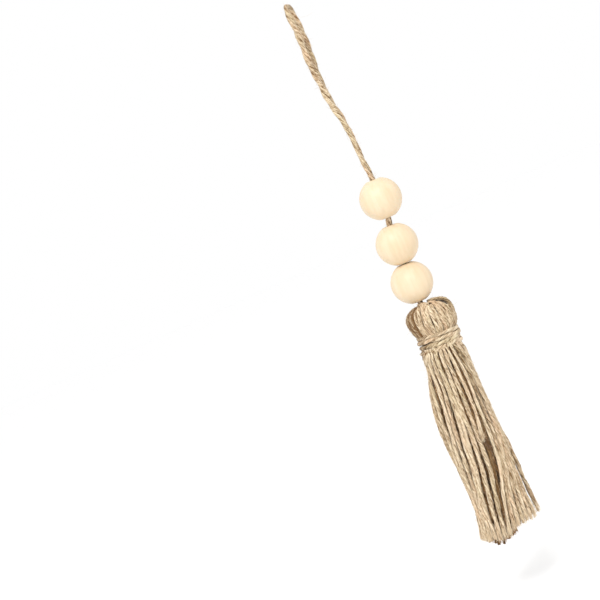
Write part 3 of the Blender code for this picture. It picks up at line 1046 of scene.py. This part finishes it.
def laid_fibres(runs, per_metre, rng, low=0):
    """Coarser fibres that lie along the runs' surface and turn with the twist, lifting at their ends."""
    hairs = []
    for run in runs:
        for _ in range(round(run.length * per_metre)):
            span = min(rng.randrange(8, 20), len(run.points) - low - 4)
            first = rng.randrange(low, len(run.points) - span - 2)
            turn = rng.uniform(0, math.tau)
            line = []
            for i in range(first, first + span + 1, 2):
                tangent = (run.points[i + 1] - run.points[i]).normalized()
                t = (i - first) / span
                lift = 0.85 + 0.35 * (2 * t - 1) ** 4
                side = side_way(tangent, turn + (run.turns[i] - run.turns[first]) * 0.7)
                line.append(run.points[i] + side * run.radii[i] * lift)
            tone = float(np.mean(run.shade)) * 0.5 + rng.random() * 0.5
            hairs.append((line, rng.uniform(*FIBRE_RADII) * MM, tone))
    return hairs


def brushes(runs, number, rng):
    """The frayed fibres at the strands' cut ends, so many to a strand."""
    hairs = []
    for run in runs:
        tip = run.points[-1]
        strand_radius = max(run.radii)
        tangent = (run.points[-1] - run.points[-6]).normalized()
        for _ in range(number):
            side = side_way(tangent, rng.uniform(0, math.tau))
            back = rng.uniform(*BRUSH_ROOTS) * MM
            place = tip - tangent * back + side * rng.uniform(0.1, 0.9) * strand_radius
            heading = tangent + side * rng.uniform(-0.05, 0.16)
            length = back + rng.uniform(*BRUSH_TIPS) * MM
            line = free_line(place, heading, length, 0.14, rng, steps=3)
            hairs.append((line, rng.uniform(*BRUSH_RADII) * MM, 0.6 + 0.8 * rng.random()))
    return hairs


def teased(number, across, depth, forward, length, radii, curl, rng):
    """Curled fibres that start anywhere between the given places across, down and forward, in mm."""
    hairs = []
    for _ in range(number):
        place = Vector((rng.uniform(*across), -rng.uniform(*forward), -rng.uniform(*depth))) * MM
        heading = any_way(rng)
        line = free_line(on_tassel() @ place, heading, rng.uniform(*length) * MM, curl, rng, steps=9)
        hairs.append((line, rng.uniform(*radii) * MM, 1.3 * rng.random() - 0.2))
    return hairs


def loose_fibres(loop, binding, head, outer, inner, finish, tangle_finish_painted_shade, rng):
    """The fuzz of the whole, the tangle and the tuft at the short strand's end, and the frayed ends."""
    neck = head + binding
    fibres("loop_hairs", hairs_along(loop, 5000, 3 * MM, rng), finish)
    fibres("head_hairs", hairs_along(neck, 1200, 3 * MM, rng), finish)
    fibres("head_fibres", laid_fibres(neck, 1500, rng), finish)
    fibres("skirt_hairs", hairs_along(outer, 1200, 4 * MM, rng, low=8), finish)
    fibres("skirt_fibres", laid_fibres(outer, 900, rng, low=6), finish)
    stray = hairs_along(loop + head + outer, 40, 9 * MM, rng, radii=STRAY_RADII, lift=1.2, curl=1.6)
    fibres("stray_hairs", stray, finish)
    tangle = teased(
        130, across=(0.5, 2.6), depth=(54.6, 60.0), forward=(8.8, 10.4),
        length=(1.5, 4.0), radii=(0.04, 0.07), curl=4.0, rng=rng,
    )
    fibres("tangle", tangle, tangle_finish_painted_shade)
    tuft = teased(
        60, across=(0.7, 1.7), depth=(53.4, 54.4), forward=(10.5, 11.5),
        length=(1.0, 2.0), radii=(0.06, 0.09), curl=3.0, rng=rng,
    )
    fibres("tuft", tuft, finish)
    fibres("frayed_ends", brushes(outer, 56, rng), finish)
    # The inner strands' frayed ends take the teased fibre's painted shade
    fibres("frayed_inner_ends", brushes(inner, 20, rng), tangle_finish_painted_shade)


# Stage, light and camera


def camera_frame():
    """The camera's axes (right, up, back) and the point that it looks at."""
    rise = math.sin(CAMERA_ELEVATION)
    run = math.cos(CAMERA_ELEVATION)
    back = Vector((0.0, -run, rise))
    right = Matrix.Rotation(-CAMERA_ROLL, 3, back) @ Vector((1.0, 0.0, 0.0))
    up = back.cross(right)
    across = (FRAME_PIXELS / 2 - CROWN_PIXEL[0]) * METRES_PER_PIXEL
    down = (FRAME_PIXELS / 2 - CROWN_PIXEL[1]) * METRES_PER_PIXEL
    crown = Vector((0.0, 0.0, 2 * TWINE_RADIUS))
    return right, up, back, crown + right * across - up * down


def camera():
    """The camera, as far off as its lens needs to take in the frame."""
    right, up, back, target = camera_frame()
    data = bpy.data.cameras.new("camera")
    data.lens = LENS_MM
    data.sensor_width = SENSOR_MM
    data.clip_start = 0.01
    distance = FRAME_PIXELS * METRES_PER_PIXEL * LENS_MM / SENSOR_MM
    made = linked("camera", data)
    turn = Matrix((right, up, back)).transposed().to_4x4()
    made.matrix_world = Matrix.Translation(target + back * distance) @ turn
    bpy.context.scene.camera = made


def soft_light(name, watts, size, aim, right_up_back):
    """A square area light, placed from the aim by distances along the camera's axes."""
    data = bpy.data.lights.new(name, "AREA")
    data.energy = watts
    data.size = size
    made = linked(name, data)
    made.location = aim
    for axis, distance in zip(camera_frame(), right_up_back):
        made.location += axis * distance
    made.rotation_euler = (made.location - aim).to_track_quat("Z", "Y").to_euler()


def stage_and_light():
    """A white floor and white surroundings, and one soft light."""
    bm = bmesh.new()
    bmesh.ops.create_grid(bm, x_segments=1, y_segments=1, size=FLOOR_HALF_WIDTH)
    bmesh.ops.translate(bm, vec=(0, 0, -FLOOR_DROP), verts=bm.verts)
    mesh = bpy.data.meshes.new("floor")
    bm.to_mesh(mesh)
    bm.free()
    mesh.materials.append(paper())
    floor = linked("floor", mesh)
    world = bpy.data.worlds.new("studio")
    bpy.context.scene.world = world
    world.use_nodes = True
    sky = world.node_tree.nodes["Background"]
    sky.inputs["Color"].default_value = linear("#FFFFFF")
    sky.inputs["Strength"].default_value = 1.0
    aim = Vector((0.0, 0.0, -LIGHT_AIM_DROP))
    soft_light("key", LIGHT_WATTS, LIGHT_WIDTH, aim, LIGHT_PLACE)
    bpy.context.scene.view_settings.view_transform = "Standard"


def main():
    """Loads the frame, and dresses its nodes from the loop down."""
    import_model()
    camera()
    rng = random.Random(SEED)
    noise.seed_set(SWAY_SEED)
    # Twine that lies open to the light: straw, with valleys between its plies browned by painted shade
    twine_jute = jute("jute_twine", "#E9D8BC", "#C4AD8D", "#6E4F2C", bump=0.8)
    # Painted shade: the same twine coloured as where its neighbours shade it, brown, and darkest in the
    # middle of the bundle
    inside_jute_painted_shade = jute("jute_inside_of_skirt_painted_shade", "#B08C60", "#85623A", "#50361B", bump=0.8)
    # Painted shade: the bundle's inside is coloured darkest
    core_jute_painted_shade = jute("jute_bundle_inside_painted_shade", "#6E5236", "#543D26", "#38271A", bump=0.6)
    # Single fibres are smooth. Light gets through them, so they look paler than the twine, but for those
    # that lie in the strands' shade.
    fibre_jute = jute("jute_fibre", "#F0E0C6", "#D8C3A2", "#A5875F", bump=0.0)
    # Painted shade: teased fibre coloured dark brown, as where it lies in the strands' shade; the inner
    # strands' frayed ends take it too
    tangle_jute_painted_shade = jute("jute_teased_fibre_painted_shade", "#C8A584", "#8F6C4E", "#4E3624", bump=0.0)
    wood = turned_wood()
    loose = ply_section("loose_section", 8, spread=0.3)
    rounder = ply_section("round_section", 8, spread=0.16)
    plain = ply_section("plain_section", 5, spread=0.3)
    loop = hanging_loop(twine_jute, loose, rng)
    for name, drop, aside, lean in BEAD_ROWS:
        turned_bead(name, drop, aside, lean, wood)
    binding = neck_binding(twine_jute, loose, rng)
    head = head_strands(twine_jute, rounder, rng)
    head_core(core_jute_painted_shade)
    outer, inner = skirt(twine_jute, inside_jute_painted_shade, loose, plain, rng)
    loose_fibres(loop, binding, head, outer, inner, fibre_jute, tangle_jute_painted_shade, rng)
    for guide in (loose, rounder, plain):
        bpy.data.objects.remove(guide)
    stage_and_light()


main()
